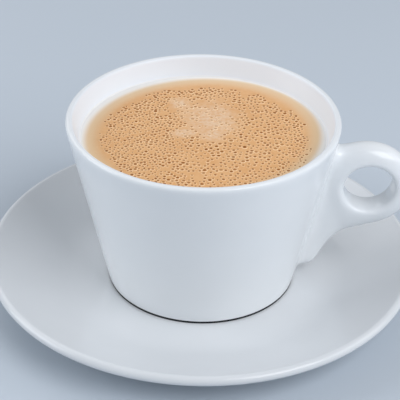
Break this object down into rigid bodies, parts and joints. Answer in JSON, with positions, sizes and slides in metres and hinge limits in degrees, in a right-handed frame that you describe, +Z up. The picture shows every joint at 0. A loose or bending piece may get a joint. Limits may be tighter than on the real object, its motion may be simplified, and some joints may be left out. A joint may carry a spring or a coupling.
{
  "type": "cup of tea with milk on a saucer",
  "caption": "Round tapered porcelain cup with a ring handle, filled with foamy milk tea, standing on a flared saucer.",
  "frame": {"origin": "middle of the saucer's underside, on the surface that it stands on", "axes": "+Z up along the common axis of cup and saucer; +X towards the cup's handle; +Y away from the viewer when the handle is on the right"},
  "size_m": [0.1414, 0.1414, 0.0641],
  "materials": {
    "porcelain": "glossy white glaze",
    "tea": "wet, with fine froth bubbles"
  },
  "bodies": {
    "root": {"cup": "porcelain", "saucer": "porcelain", "tea": "tea"}
  },
  "joints": []
}
